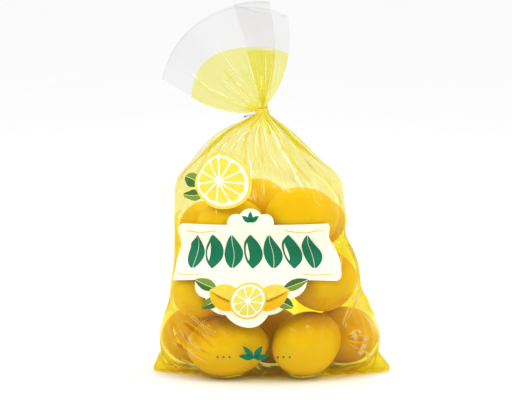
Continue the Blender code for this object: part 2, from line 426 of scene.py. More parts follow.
def make_lemon(name, centre, axis, half_length, half_width, seed, peel):
    """A lemon: an oval body with uneven sides, a nub at its tip and a ringed hollow at its stem."""
    rng = np.random.default_rng(seed)
    around, along = 72, 48
    polar = np.linspace(0, math.pi, along + 1)[:, None]
    turn = np.linspace(0, 2 * math.pi, around, endpoint=False)[None, :]
    nub = hump(polar, math.radians(15))
    stem = hump(math.pi - polar, math.radians(13))
    hollow = hump(math.pi - polar, math.radians(5))
    reach = half_length * (0.93 * np.cos(polar) + 0.07 * nub - 0.045 * stem + 0.025 * hollow)
    lumps = 1 + 0 * turn
    for k in (2, 3, 5):
        tilt = rng.uniform(0, 2 * math.pi, 2)
        lumps = lumps + 0.012 / k * 2 * np.cos(k * turn + tilt[0]) * np.sin(polar) ** 2
        lumps = lumps + 0.008 * np.cos(k * polar + tilt[1])
    radius = half_width * 0.985 * np.sin(polar) ** 0.96 * lumps / lumps.max()
    x = np.broadcast_to(reach, radius.shape)
    local = np.stack([x, radius * np.cos(turn), radius * np.sin(turn)], axis=2)[1:-1]
    ends = np.array([[reach[0, 0], 0, 0], [reach[-1, 0], 0, 0]])
    points = np.concatenate([local.reshape(-1, 3), ends])
    turned = np.array(Vector(axis).to_track_quat("X", "Z").to_matrix())
    points = points @ turned.T + centre
    faces = []
    rows = along - 1
    for j in range(rows - 1):
        for i in range(around):
            a, b = j * around + i, j * around + (i + 1) % around
            faces.append((a, a + around, b + around, b))
    tip = rows * around
    last = tip - around
    for i in range(around):
        k = (i + 1) % around
        faces += [(tip, i, k), (tip + 1, last + k, last + i)]
    return mesh_piece(name, points, faces, [peel], slot="peel")


# --- Film shape ---


def cad_rings(heights, columns, fine=360):
    """Level rings on the CAD bag, evenly spaced along its back and its front."""
    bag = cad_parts["bag"].data
    tree = BVHTree.FromPolygons(
        [vertex.co[:] for vertex in bag.vertices], [face.vertices[:] for face in bag.polygons]
    )
    far = 1.0
    rings = []
    for height in heights:
        right = tree.ray_cast(Vector((far, 0, height)), Vector((-1, 0, 0)))[0].x
        left = tree.ray_cast(Vector((-far, 0, height)), Vector((1, 0, 0)))[0].x
        middle = Vector(((left + right) / 2, 0, height))
        hits = []
        for turn in np.linspace(0, 2 * math.pi, fine + 1):
            way = Vector((math.cos(turn), math.sin(turn), 0))
            hits.append(tree.ray_cast(middle, way)[0] or middle)
        hits = np.array(hits)
        halves = []
        for half in (hits[: fine // 2 + 1], hits[fine // 2 :]):
            halves.append(even(half[:, None], columns // 2)[:-1, 0])
        rings.append(np.concatenate(halves))
    return np.array(rings)


def even(lines, steps):
    """Each column of lines[point, column] as steps + 1 points, evenly spaced along it."""
    gaps = np.linalg.norm(np.diff(lines, axis=0), axis=2)
    along = np.concatenate([np.zeros((1, lines.shape[1])), np.cumsum(gaps, axis=0)])
    spaced = np.empty((steps + 1, lines.shape[1], 3))
    for column in range(lines.shape[1]):
        wanted = np.linspace(0, along[-1, column], steps + 1)
        for axis in range(3):
            spaced[:, column, axis] = np.interp(wanted, along[:, column], lines[:, column, axis])
    return spaced


def film_target(columns, rows):
    """The CAD bag's surface as a grid from the bottom seal, out under the lemons, to the tie."""
    top = NECK_HEIGHT - NECK_BAND
    foot = np.array([0.6, 2, 4, 7, 11]) * MM
    heights = np.concatenate([foot, np.arange(15 * MM, top, 3 * MM)])
    rings = cad_rings(heights, columns)
    tucked = smoothstep(heights, 178 * MM, 205 * MM) * smoothstep(-heights, -top, -215 * MM)
    straight = 1 - SHOULDER_TUCK * tucked
    rings[:, :, 0] = NECK_X + (rings[:, :, 0] - NECK_X) * straight[:, None]
    deep = FOOT_DEPTH + (1 - FOOT_DEPTH) * smoothstep(heights, -2 * MM, 20 * MM)
    rings[:, :, 1] *= deep[:, None]
    share = np.arange(columns) / columns
    across = np.where(share < 0.5, 1 - 4 * share, 4 * share - 3)
    seal = np.stack([SEAL_HALF_WIDTH * across, 0 * share, 0 * share + 0.5 * MM], axis=1)
    under = seal + (rings[0] - seal) * np.array([0, 0.25, 0.5, 0.75])[:, None, None]
    return even(np.concatenate([under, rings]), rows)


def link(points, rest, move, stiffness, ahead, side):
    """Adds to move what brings points to rest from neighbours, ahead rows and side columns on."""
    other = np.roll(points[ahead:], -side, axis=1)
    gap = other - points[: len(points) - ahead]
    length = np.linalg.norm(gap, axis=2, keepdims=True) + 1e-9
    step = gap * (0.5 * stiffness * (1 - rest / length))
    move[: len(points) - ahead] += step
    move[ahead:] -= np.roll(step, side, axis=1)


def stiffen(points, move, stiffness):
    """Adds to move what resists bending along rows and columns."""
    bend = np.roll(points, 1, axis=1) + np.roll(points, -1, axis=1) - 2 * points
    move -= stiffness * (np.roll(bend, 1, axis=1) + np.roll(bend, -1, axis=1) - 2 * bend)
    bend = points[2:] + points[:-2] - 2 * points[1:-1]
    move[1:-1] += 2 * stiffness * bend
    move[2:] -= stiffness * bend
    move[:-2] -= stiffness * bend


def relax(points, girth_step, column_step, target, lemons, rounds, pull):
    """Lets the film find its shape: lengths kept, laid against the lemons, near the target."""
    points = points.astype(np.float32)
    target = target.astype(np.float32)
    speed = np.zeros_like(points)
    slant = np.sqrt(((girth_step[1:] + girth_step[:-1]) / 2) ** 2 + column_step**2)
    ends = points[[0, -1]].copy()
    for turn in range(rounds):
        move = np.zeros_like(points)
        link(points, girth_step, move, 1.0, 0, 1)
        link(points, column_step, move, 1.0, 1, 0)
        link(points, slant, move, SHEAR, 1, 1)
        link(points, slant, move, SHEAR, 1, -1)
        stiffen(points, move, BEND)
        speed = SPEED_KEPT * speed + SPEED_GAIN * move + pull * (target - points)
        points += speed
        flat = points.reshape(-1, 3)
        flat_speed = speed.reshape(-1, 3)
        if turn % NEAR_ROUNDS == 0:
            near = [np.nonzero(np.abs(flat - c).max(axis=1) < reach)[0] for c, _, reach in lemons]
        for indices, (centre, inward, _) in zip(near, lemons):
            away = flat[indices] - centre
            depth = np.linalg.norm(away @ inward, axis=1)
            inside = depth < 1
            hit = indices[inside]
            flat[hit] = centre + away[inside] / np.maximum(depth[inside], 0.3)[:, None]
            flat_speed[hit] *= 0.5
        points[:, :, 2] = np.maximum(points[:, :, 2], FLOOR)
        points[[0, -1]] = ends
    return points


def finer(points):
    """The same film with twice the columns and rows."""
    wide = np.repeat(points, 2, axis=1)
    ahead, beyond = np.roll(points, -1, axis=1), np.roll(points, -2, axis=1)
    wide[:, 1::2] = (9 * (points + ahead) - np.roll(points, 1, axis=1) - beyond) / 16
    tall = np.empty((2 * len(wide) - 1, *wide.shape[1:]), wide.dtype)
    tall[::2] = wide
    tall[1::2] = (wide[1:] + wide[:-1]) / 2
    tall[3:-2:2] = (9 * (wide[1:-2] + wide[2:-1]) - wide[:-3] - wide[3:]) / 16
    return tall


def body_film(lemons):
    """The film from the seal to the tie, relaxed on coarse, middle and fine grids in turn."""
    walls = []
    for centre, axis, half_length, half_width in zip(*lemons):
        long, wide = half_length + FILM_REST, half_width + FILM_REST
        inward = np.eye(3) / wide + (1 / long - 1 / wide) * np.outer(axis, axis)
        walls.append((centre.astype(np.float32), inward.astype(np.float32), long + 6 * MM))
    rng = np.random.default_rng(5)
    columns, rows = FILM_COLUMNS // 4, BODY_ROWS // 4
    film = film_target(columns, rows)
    film[1:-1] += rng.normal(0, 0.2 * MM, film[1:-1].shape)
    for rounds in RELAX_ROUNDS:
        target = film_target(columns, rows)
        height = target[:, :, 2].mean(axis=1)
        slack = 1 + np.interp(height / MM, *np.array(SLACK).T)
        girth = np.minimum(girths(target) * slack, FLAT_GIRTH)
        girth[height < SEAL_TOP] = FLAT_GIRTH
        film[0], film[-1] = target[0], target[-1]
        girth_step = (girth / columns).astype(np.float32)[:, None, None]
        column = np.linalg.norm(np.diff(target, axis=0), axis=2).sum(axis=0)
        column_step = (column / rows).astype(np.float32)[None, :, None]
        pull = np.interp(height / MM, *np.array(PULL).T)
        pull = pull.astype(np.float32)[:, None, None]
        film = relax(film, girth_step, column_step, target, walls, rounds, pull)
        if rounds != RELAX_ROUNDS[-1]:
            film = finer(film)
            columns, rows = columns * 2, rows * 2
    film, folded = add_pleats(film, rng)
    return add_creases(film), folded


def outward(film):
    """Unit normals of the film's grid, away from the lemons."""
    along = np.gradient(film, axis=0)
    across = (np.roll(film, -1, axis=1) - np.roll(film, 1, axis=1)) / 2
    normal = np.cross(across, along)
    return normal / (np.linalg.norm(normal, axis=2, keepdims=True) + 1e-12)


def girths(film):
    """The length round the film along each of its rows."""
    return np.linalg.norm(np.roll(film, -1, axis=1) - film, axis=2).sum(axis=1)


def add_pleats(film, rng):
    """Fine straight ridges that run down from the tie and die out over the lemons."""
    share = np.arange(film.shape[1]) / film.shape[1]
    height = film[:, :, 2]
    girth = girths(film)[:, None]
    raised = np.zeros(film.shape[:2])
    folded = height < SEAL_TOP
    for number in range(PLEATS):
        middle = (number + rng.uniform(-0.35, 0.35)) / PLEATS
        end = rng.uniform(150, 215) * MM
        steep = rng.uniform(0.35, 1.0)
        aside = np.abs((share[None, :] - middle + 0.5) % 1 - 0.5) * girth
        width = (0.9 + 1.3 * smoothstep(-height, -NECK_HEIGHT, -200 * MM)) * MM
        ridge = steep * width * hump(aside, width) * smoothstep(height, end, end + 25 * MM)
        ridge = ridge * (0.4 + 0.6 * smoothstep(-height, -NECK_HEIGHT, -228 * MM))
        raised = np.maximum(raised, ridge)
        if number % 3 == 0:
            folded |= (aside < 0.8 * width) & (height > end + 15 * MM)
    return film + outward(film) * raised[:, :, None], folded


def crease_lines():
    """Each crease of the fans: points along it in millimetres, its width, height and the look of its
    painted highlight.
    """
    rng = np.random.default_rng(17)
    lines = []
    for *corners, number, width, size, look in CREASE_FANS:
        corners = np.array(corners)
        for turn in range(number):
            share = (turn + rng.uniform(-0.2, 0.2)) / max(number - 1, 1)
            start, end = corners[::2] * (1 - share) + corners[1::2] * share
            run = (end - start) * rng.uniform(0.7, 1.0)
            along = np.linspace(0, 1, 15)[:, None]
            aside = np.array([run[1], -run[0]]) * 0.04 * math.sin(turn * 2.3)
            points = start + run * along + aside * np.sin(math.pi * along)
            lines.append((points, width, size, look))
    return lines


def add_creases(film):
    """Raises the crease lines of the front."""
    raised = np.zeros(film.shape[:2])
    for points, width, size, _ in crease_lines():
        run = points[-1] - points[0]
        length = np.hypot(*run)
        run = run / length
        aside, height = film[:, :, 0] / MM - points[0][0], film[:, :, 2] / MM - points[0][1]
        along = aside * run[0] + height * run[1]
        across = aside * run[1] - height * run[0]
        bowed = (points - points[0]) @ np.array([run[1], -run[0]])
        across = across - np.interp(along, np.linspace(0, length, len(bowed)), bowed)
        fade = smoothstep(along, 0, 0.3 * length) * smoothstep(-along, -length, -0.6 * length)
        raised = raised + size * hump(across, width) * fade
    raised[:, : film.shape[1] // 2] = 0
    return film + outward(film) * raised[:, :, None] * MM


def flare_film(start, rng):
    """The film above the tie: a fan of two panels that opens straight from the gathers."""
    share = np.arange(len(start)) / len(start)
    stops, angle, length, tinted, depth = np.array(FLARE_EDGE).T
    kernel = np.hanning(7)
    kernel /= kernel.sum()
    curves = []
    for values in (angle, length * MM, tinted * MM, depth * MM):
        curve = np.interp(share, stops, values)
        curves.append(np.convolve(np.concatenate([curve[-3:], curve, curve[:3]]), kernel, "valid"))
    angle, length, tinted, depth = curves
    row = np.arange(1, FLARE_ROWS + 1)[:, None]
    inner = tinted[None, :] * row / TINTED_ROWS
    outer = tinted + (length - tinted)[None, :] * (row - TINTED_ROWS) / (FLARE_ROWS - TINTED_ROWS)
    reach = np.where(row <= TINTED_ROWS, inner, outer)
    rows = reach / length[None, :]
    fan = (angle[None, :] - FAN_RIGHT) / (FAN_LEFT - FAN_RIGHT)
    left = smoothstep(fan, 0, 1)
    spread = 34 * (1 - rows) ** 1.4 * left - 29 * (1 - rows) * (1 - left)
    spread = spread * (1 - np.sin(math.pi * np.clip(fan, 0, 1))) ** 0.7
    direction = np.radians(angle[None, :] + spread)
    x = NECK_X + reach * np.cos(direction)
    z = NECK_HEIGHT + reach * np.sin(direction)
    y = depth[None, :] * smoothstep(rows, 0, 0.7) + 3.5 * MM * rows * np.sin(11 * fan + 0.7)
    gather = np.sin(2 * math.pi * 23 * share + 2 * np.sin(2 * math.pi * 5 * share))[None, :]
    y = y + 1.5 * MM * gather * smoothstep(rows, 0, 0.12) * hump(rows, 0.5)
    for number in range(FLARE_PLEATS):
        middle = (number + rng.uniform(-0.4, 0.4)) / FLARE_PLEATS
        low, high = rng.uniform(0, 0.4), rng.uniform(0.5, 1.3)
        lean = rng.uniform(-0.03, 0.03)
        aside = ((share[None, :] - middle - lean * rows + 0.5) % 1 - 0.5) * 320 * MM * (0.2 + rows)
        ridge = rng.uniform(0.4, 1.1) * MM * hump(aside, 1.4 * MM)
        y = y + ridge * smoothstep(rows, low, low + 0.15) * smoothstep(-rows, -high, 0.2 - high)
    fan_film = np.stack([x, y, z], axis=2)
    blend = smoothstep(rows, 0, 0.1)[:, :, None]
    rise = np.stack([0 * reach, 0 * reach, 0.35 * reach], axis=2)
    return (start[None] + rise) * (1 - blend) + fan_film * blend


def free_film(body, lemons):
    """Where the film hangs free of every lemon."""
    free = np.ones(body.shape[:2], bool)
    for centre, axis, half_length, half_width in zip(*lemons):
        away = body - centre
        along = away @ axis
        across = np.linalg.norm(away - along[:, :, None] * axis, axis=2)
        free &= (along / half_length) ** 2 + (across / half_width) ** 2 > FREE
    return free


def film_kinds(body, folded, free, rng):
    """What each face of the film is, by row and column of its grid."""
    tie, columns = body.shape[:2]
    kind = np.full((tie + FLARE_ROWS, columns), TINTED)
    kind[: tie - 1][folded[:-1]] = GATHERED
    aside = np.abs(body[:-1, :, 0] - FILM_MIDDLE)
    shown = np.arange(columns) >= columns // 2
    low = (body[:-1, :, 2] < FOLDED_TOP) & free[:-1] & (aside > FOLDED_ASIDE * shown)
    kind[: tie - 1][low] = FOLDED
    for _ in range(FLARE_GATHERS):
        first, wide = int(rng.uniform(0, columns)), int(rng.integers(1, 4))
        high = tie + int(rng.uniform(6, TINTED_ROWS))
        kind[tie - 1 : high, first : first + wide] = GATHERED
    for _ in range(NECK_FOLDS):
        first, wide = int(rng.uniform(0, columns)), int(rng.integers(2, 5))
        low, high = tie - int(rng.uniform(3, 13)), tie + int(rng.uniform(2, 9))
        kind[low:high, first : first + wide] = FOLDED
    kind[tie + TINTED_ROWS :] = CLEAR
    kind[-1] = EDGE
    for share in FAN_FOLDS:
        fold = round(share * columns) - 1
        kind[tie + TINTED_ROWS :, fold] = EDGE
        kind[tie + 12 : tie + TINTED_ROWS, fold] = FOLDED
    # a clear strip down the left side
    side = np.abs(np.arange(columns) - columns / 2 + 0.5) < 3
    kind[12 : tie - 30, side] = CLEAR
    return kind


def make_film(lemons, materials):
    """The whole film in one piece, with a material for each kind of face. Returns its grid."""
    rng = np.random.default_rng(11)
    body, folded = body_film(lemons)
    neck = body[-1] + np.array([0, 0, NECK_BAND])
    grid = np.concatenate([body, neck[None], flare_film(neck, rng)])
    kind = film_kinds(body, folded, free_film(body, lemons), rng)
    index = np.arange(grid.shape[0] * grid.shape[1]).reshape(grid.shape[:2])
    right = np.roll(index, -1, axis=1)
    lower = np.stack([index[:-1], right[:-1], right[1:]], axis=2)
    upper = np.stack([index[:-1], right[1:], index[1:]], axis=2)
    faces = np.stack([lower, upper], axis=2).reshape(-1, 3)
    mesh_piece("film", grid.reshape(-1, 3), faces, materials, np.repeat(kind.ravel(), 2))
    return grid


# --- Prints ---


class Sheet:
    """The front of the film as a flat sheet: millimetres right of its middle, and its height.

    Lines across it sag a little towards its sides, as they do on the filled bag.
    """

    def __init__(self, film):
        self.film = film
        self.normal = outward(film)
        self.girth = girths(film)
        self.front = 3 * FILM_COLUMNS // 4
        self.first = np.argmax(film[:, self.front, 2] > 12 * MM)
        shown = film[self.first : BODY_ROWS + 1]
        sagged = shown[:, :, 2] + SAG * (shown[:, :, 1] + 50 * MM)
        self.heights = np.maximum.accumulate(sagged, axis=0)
        faces = []
        for j in range(BODY_ROWS):
            for i in range(FILM_COLUMNS // 2, FILM_COLUMNS):
                a, b = j * FILM_COLUMNS + i, j * FILM_COLUMNS + (i + 1) % FILM_COLUMNS
                faces += [(a, b, b + FILM_COLUMNS), (a, b + FILM_COLUMNS, a + FILM_COLUMNS)]
        points = [Vector(point) for point in film[: BODY_ROWS + 1].reshape(-1, 3)]
        self.tree = BVHTree.FromPolygons(points, faces)

    def cell(self, flat):
        """Column and row, with fractions, of flat points in millimetres."""
        rows = np.arange(len(self.film), dtype=float)
        own_rows = rows[self.first : BODY_ROWS + 1]
        cells = []
        for across, height in np.asarray(flat) * MM:
            column = float(self.front)
            for _ in range(4):
                left = int(column)
                own = np.interp(height, self.heights[:, left % FILM_COLUMNS], own_rows)
                other = np.interp(height, self.heights[:, (left + 1) % FILM_COLUMNS], own_rows)
                row = own + (other - own) * (column - left)
                column = self.front + across / np.interp(row, rows, self.girth) * FILM_COLUMNS
            cells.append((column, row))
        return np.array(cells)

    def met(self, flat):
        """Cells that lines straight back from the front meet, or None if those jump."""
        cells = []
        for across, height in np.asarray(flat) * MM:
            spot, _, face, _ = self.tree.ray_cast(Vector((across, -0.3, height)), Vector((0, 1, 0)))
            if spot is None:
                return None
            j, i = divmod(face // 2, FILM_COLUMNS // 2)
            i += FILM_COLUMNS // 2
            steps = ((0, 0), (1, 0), (1, 1)) if face % 2 == 0 else ((0, 0), (1, 1), (0, 1))
            real = [Vector(self.film[j + up, (i + side) % FILM_COLUMNS]) for side, up in steps]
            flat_corners = [Vector((i + side, j + up, 0)) for side, up in steps]
            cells.append(barycentric_transform(spot, *real, *flat_corners)[:2])
        cells = np.array(cells)
        return None if np.abs(np.diff(cells, axis=0)).max() > LARGEST_JUMP else cells

    def streak(self, cells, width, wedge=0.0):
        """A line through cells as a pointed strip of this width in metres, wider later by wedge."""
        fine = np.linspace(0, len(cells) - 1, 4 * len(cells))
        steps = np.arange(len(cells))
        line = np.stack([np.interp(fine, steps, values) for values in cells.T], axis=1)
        row = np.clip(line[:, 1], 0, len(self.film) - 2).astype(int)
        column = line[:, 0].astype(int) % FILM_COLUMNS
        up = np.linalg.norm(self.film[row + 1, column] - self.film[row, column], axis=1) + 1e-5
        beside = self.film[row, (column + 1) % FILM_COLUMNS]
        across = np.linalg.norm(beside - self.film[row, column], axis=1) + 1e-5
        run = np.gradient(line, axis=0) * np.stack([across, up], axis=1)
        run /= np.linalg.norm(run, axis=1, keepdims=True)
        run_share = np.linspace(0.02, 0.98, len(line))
        half = width / 2 * np.sin(math.pi * run_share ** (1 + wedge)) ** 0.7
        aside = np.stack([-run[:, 1] * half / across, run[:, 0] * half / up], axis=1)
        return np.concatenate([line + aside, (line - aside)[::-1]])

    def lifted(self, cells, lift):
        """Places on the film's own triangles at these cells, raised by lift."""
        base = np.floor(cells + 1e-6).astype(int)
        base[:, 1] = np.clip(base[:, 1], 0, len(self.film) - 2)
        across, up = np.clip(cells - base, 0, 1).T
        i, j = base[:, 0] % FILM_COLUMNS, base[:, 1]
        k = (i + 1) % FILM_COLUMNS
        flatter = across >= up
        corner_i, corner_j = np.where(flatter, k, i), np.where(flatter, j, j + 1)
        first = np.where(flatter, 1 - across, 1 - up)[:, None]
        last = np.where(flatter, up, across)[:, None]
        middle = 1 - first - last

        def at(grid):
            return first * grid[j, i] + middle * grid[corner_j, corner_i] + last * grid[j + 1, k]

        return at(self.film) + lift * at(self.normal)


def cut_cells(outline):
    """A closed outline cut along the film's grid lines and diagonals: its cells and its faces."""
    mesh = bmesh.new()
    mesh.faces.new([mesh.verts.new((c, r, 0)) for c, r in outline])
    bmesh.ops.triangulate(mesh, faces=mesh.faces[:], ngon_method="EAR_CLIP")
    for direction in ((1, 0), (0, 1), (1, -1)):
        reach = np.asarray(outline) @ np.array(direction)
        for line in range(math.ceil(reach.min()), math.floor(reach.max()) + 1):
            share = line / (direction[0] ** 2 + direction[1] ** 2)
            bmesh.ops.bisect_plane(
                mesh,
                geom=mesh.verts[:] + mesh.edges[:] + mesh.faces[:],
                dist=1e-5,
                plane_co=(direction[0] * share, direction[1] * share, 0),
                plane_no=(*direction, 0),
            )
    mesh.verts.index_update()
    cells = np.array([vertex.co[:2] for vertex in mesh.verts])
    faces = [[vertex.index for vertex in face.verts] for face in mesh.faces]
    mesh.free()
    return cells, faces


def ink(name, sheet, outlines, material, slot, lift):
    """Closed outlines, in cells of the sheet, as one thin piece that follows the film."""
    cells, faces, count = [], [], 0
    for outline in outlines:
        own_cells, own_faces = cut_cells(outline)
        cells.append(own_cells)
        faces += [[count + index for index in face] for face in own_faces]
        count += len(own_cells)
    points = sheet.lifted(np.concatenate(cells), lift)
    return mesh_piece(name, points, faces, [material], slot=slot)


def circle(radius, centre=(0, 0), points=72):
    turn = np.linspace(0, 2 * math.pi, points, endpoint=False)
    return np.stack([np.cos(turn), np.sin(turn)], axis=1) * radius + centre


def placed(outline, centre=(0, 0), tilt=0.0):
    """The outline turned by tilt degrees about its own origin, then moved."""
    c, s = math.cos(math.radians(tilt)), math.sin(math.radians(tilt))
    outline = np.asarray(outline, float)
    return outline @ np.array([[c, s], [-s, c]]) + np.asarray(centre)


def leaf_side(x, width):
    """How far a leaf reaches from its rib at these shares of its length."""
    return width / 2 * np.sin(math.pi * x**0.85) ** 0.9


def leaf(length, width, bow=0.0, points=18):
    """A leaf from its stalk at the origin along +X, bowed to one side."""
    x = np.linspace(0, 1, points)
    half, spine = leaf_side(x, width), bow * np.sin(math.pi * x)
    upper = np.stack([x * length, spine + half], axis=1)
    lower = np.stack([x * length, spine - half], axis=1)[-2:0:-1]
    return np.concatenate([upper, lower])


def half_leaf(length, width, side, rib=0.5, points=18):
    """One side of a leaf, clear of its rib."""
    x = np.linspace(0.03, 0.97, points)
    outer = np.stack([x * length, side * np.maximum(leaf_side(x, width), rib)], axis=1)
    inner = np.stack([x[[-1, 0]] * length, side * rib * np.ones(2) / 2], axis=1)
    return np.concatenate([outer, inner])


def lemon_outline(length, width, points=60):
    """A lemon lying along X, with a nub at each end."""
    turn = np.linspace(0, 2 * math.pi, points, endpoint=False)
    nub = hump(np.sin(turn), 0.28) * np.sign(np.cos(turn))
    x = length / 2 * (0.86 * np.cos(turn) + 0.14 * nub)
    return np.stack([x, width / 2 * np.sin(turn)], axis=1)


def segment(inner, outer, middle, half_angle, points=11):
    """One segment of a round slice, with soft outer corners."""
    across = np.linspace(-1, 1, points)
    radius = outer * (1 - 0.09 * np.abs(across) ** 5)
    angle = math.radians(middle) + math.radians(half_angle) * across
    rim = np.stack([radius * np.cos(angle), radius * np.sin(angle)], axis=1)
    tip = inner * np.array([[math.cos(math.radians(middle)), math.sin(math.radians(middle))]])
    return np.concatenate([rim, tip])


def ink_material(name, colour):
    """Ink with the slight mottle of print on film."""
    shader = Shader(name)
    light = [min(1.0, value * 1.04 + 0.004) for value in colour]
    dark = [value * 0.95 for value in colour]
    mottle = shader.noise(160.0, 4.0)
    tone = shader.ramp(mottle, (0.3, (*dark, 1)), (0.7, (*light, 1)))
    rough = shader.ranged(mottle, least=0.45, most=0.56)
    shader.set(Base_Color=tone, Roughness=rough, Specular_IOR_Level=0.15)
    return shader.material


def scallops(x, lobes):
    """How far a row of round lobes (middle, radius, lift) reaches beyond a straight edge."""
    reach = np.zeros_like(x)
    for middle, radius, lift in lobes:
        inside = np.abs(x - middle) < radius
        round_part = np.sqrt(np.maximum(radius**2 - (x - middle) ** 2, 0))
        reach = np.where(inside, np.maximum(reach, lift + round_part), reach)
    return reach


def panel_outline():
    """The cream panel: a plaque with a lobed tab on top and a lobed bib below."""
    x = np.concatenate([[-PANEL_WIDTH / 2], np.linspace(-PANEL_WIDTH / 2, PANEL_WIDTH / 2, 281)])
    corner = np.clip(np.abs(x) - (PANEL_WIDTH / 2 - 5), 0, 5)
    edge = PANEL_HEIGHT / 2 - 5 + np.sqrt(np.maximum(25 - corner**2, 0)) + 1.5 * np.abs(x / 80) ** 2
    top = np.stack([x, edge + scallops(x, ((-14, 9, 1), (0, 12, 3), (14, 9, 1)))], axis=1)
    bib = scallops(x, ((-38, 13, 4), (-21, 19, 14), (0, 24, 21), (21, 19, 14), (38, 13, 4)))
    bottom = np.stack([x, -edge - bib], axis=1)
    return np.concatenate([top[1:], bottom[:1:-1]])


def slice_motif(put, centre, radius, segments, turn):
    """A round lemon slice: its rind, its pith and its segments."""
    step = 360 / segments
    flesh = []
    for number in range(segments):
        outline = segment(radius * 0.1, radius * 0.8, turn + number * step, 0.5 * step - 2.0)
        flesh.append(put(outline, centre))
    return [put(circle(radius), centre)], [put(circle(radius * 0.9), centre)], flesh


def leaf_halves(put, leaves, side):
    """One half of each leaf, given by its stalk, tilt, length, width and darker side."""
    return [
        put(half_leaf(length, width, side * darker), stalk, tilt)
        for stalk, tilt, length, width, darker in leaves
    ]


def make_prints(sheet):
    inks = {name: ink_material(f"ink_{name}", colour) for name, (colour, _) in INKS.items()}

    def add(name, outlines, colour, level):
        cells = [sheet.cell(outline) for outline in outlines]
        ink(name, sheet, cells, inks[colour], INKS[colour][1], (0.15 + 0.12 * level) * MM)

    def on_panel(outline, centre=(0, 0), tilt=0.0):
        return placed(placed(outline, centre, tilt), PANEL_MIDDLE)

    def on_roundel(outline, centre=(0, 0), tilt=0.0):
        return placed(placed(outline, centre, tilt) * (1.17, 1), ROUNDEL_MIDDLE)

    # the plaque, its fine lines and its frieze of leaves and lemons
    add("panel", [on_panel(panel_outline())], "cream", 0)
    bar = np.array([(-1, -0.4), (1, -0.4), (1, 0.4), (-1, 0.4)])
    lines = [on_panel(bar * (20, 1), (side * 54, 20)) for side in (-1, 1)]
    lines += [on_panel(bar * (14, 1), (side * 60, -20)) for side in (-1, 1)]
    add("panel_lines", lines, "gold", 1)
    frieze, lemons = [], (-38, 0, 38)
    for place in range(-57, 58, 19):
        if place in lemons:
            frieze.append(on_panel(lemon_outline(31, 18), (place, 0.5), 90))
        else:
            for side in (-1, 1):
                frieze.append(on_panel(half_leaf(32, 18, side), (place, -15.5), 90))
    add("panel_frieze", frieze, "green", 1)
    glints = [on_panel(leaf(17, 3.2, 1.2), (place - 4.5, -8), 90) for place in lemons]
    add("panel_glints", glints, "cream", 2)
    sprig = [on_panel(leaf(10, 4.6), (0, 27.5), tilt) for tilt in (35, 90, 145)]
    add("panel_sprig", sprig, "green", 1)

    # the bib: two whole lemons with a round slice between them, and leaves
    leaves = (
        ((-30, -34), 158, 24, 10.5, 1),
        ((-26, -43), 205, 20, 10.5, 1),
        ((30, -34), 22, 24, 10.5, 1),
        ((26, -43), -25, 20, 10.5, 1),
    )
    add("bib_leaves_dark", leaf_halves(on_panel, leaves, 1), "leaf_dark", 1)
    add("bib_leaves_light", leaf_halves(on_panel, leaves, -1), "leaf_light", 1)
    bodies = [on_panel(lemon_outline(34, 24), (side * 21, -42), side * 24) for side in (-1, 1)]
    add("bib_lemons", bodies, "lemon", 2)
    shades = []
    for side in (-1, 1):
        shade = lemon_outline(34, 24)
        shade[:, 1] = np.where(shade[:, 1] > 0, -0.25 * shade[:, 1], shade[:, 1]) * 0.97
        shades.append(on_panel(shade * (0.9, 1), (side * 21, -42), side * 24))
    add("bib_shades", shades, "shade", 3)
    rind, pith, flesh = slice_motif(on_panel, (0, -45), 17, 9, 12)
    add("bib_slice_rind", rind, "lemon", 4)
    add("bib_slice_pith", pith, "white", 5)
    add("bib_slice_flesh", flesh, "pale", 6)

    # the roundel: a large slice with two leaves behind it
    leaves = (((-19, -1), 166, 25, 14, 1), ((-18, -13), 181, 24, 11, -1))
    add("roundel_leaves_dark", leaf_halves(on_roundel, leaves, 1), "leaf_dark", 0)
    add("roundel_leaves_light", leaf_halves(on_roundel, leaves, -1), "leaf_light", 0)
    rind, pith, flesh = slice_motif(on_roundel, (0, 0), 26.5, 11, 8)
    add("roundel_rind", rind, "lemon", 1)
    add("roundel_pith", pith, "cream", 2)
    add("roundel_flesh", flesh, "lemon", 3)

    # a small ornament at the foot
    middle = (PANEL_MIDDLE[0], FOOT_HEIGHT)
    dots = [placed(circle(1.1, (x, 1), 20), middle) for x in (-36, -30, -24, 24, 30, 36)]
    dots += [placed(leaf(15, 5.5), middle, tilt) for tilt in (8, 50, 130, 172)]
    add("foot_ornament", dots, "green", 1)


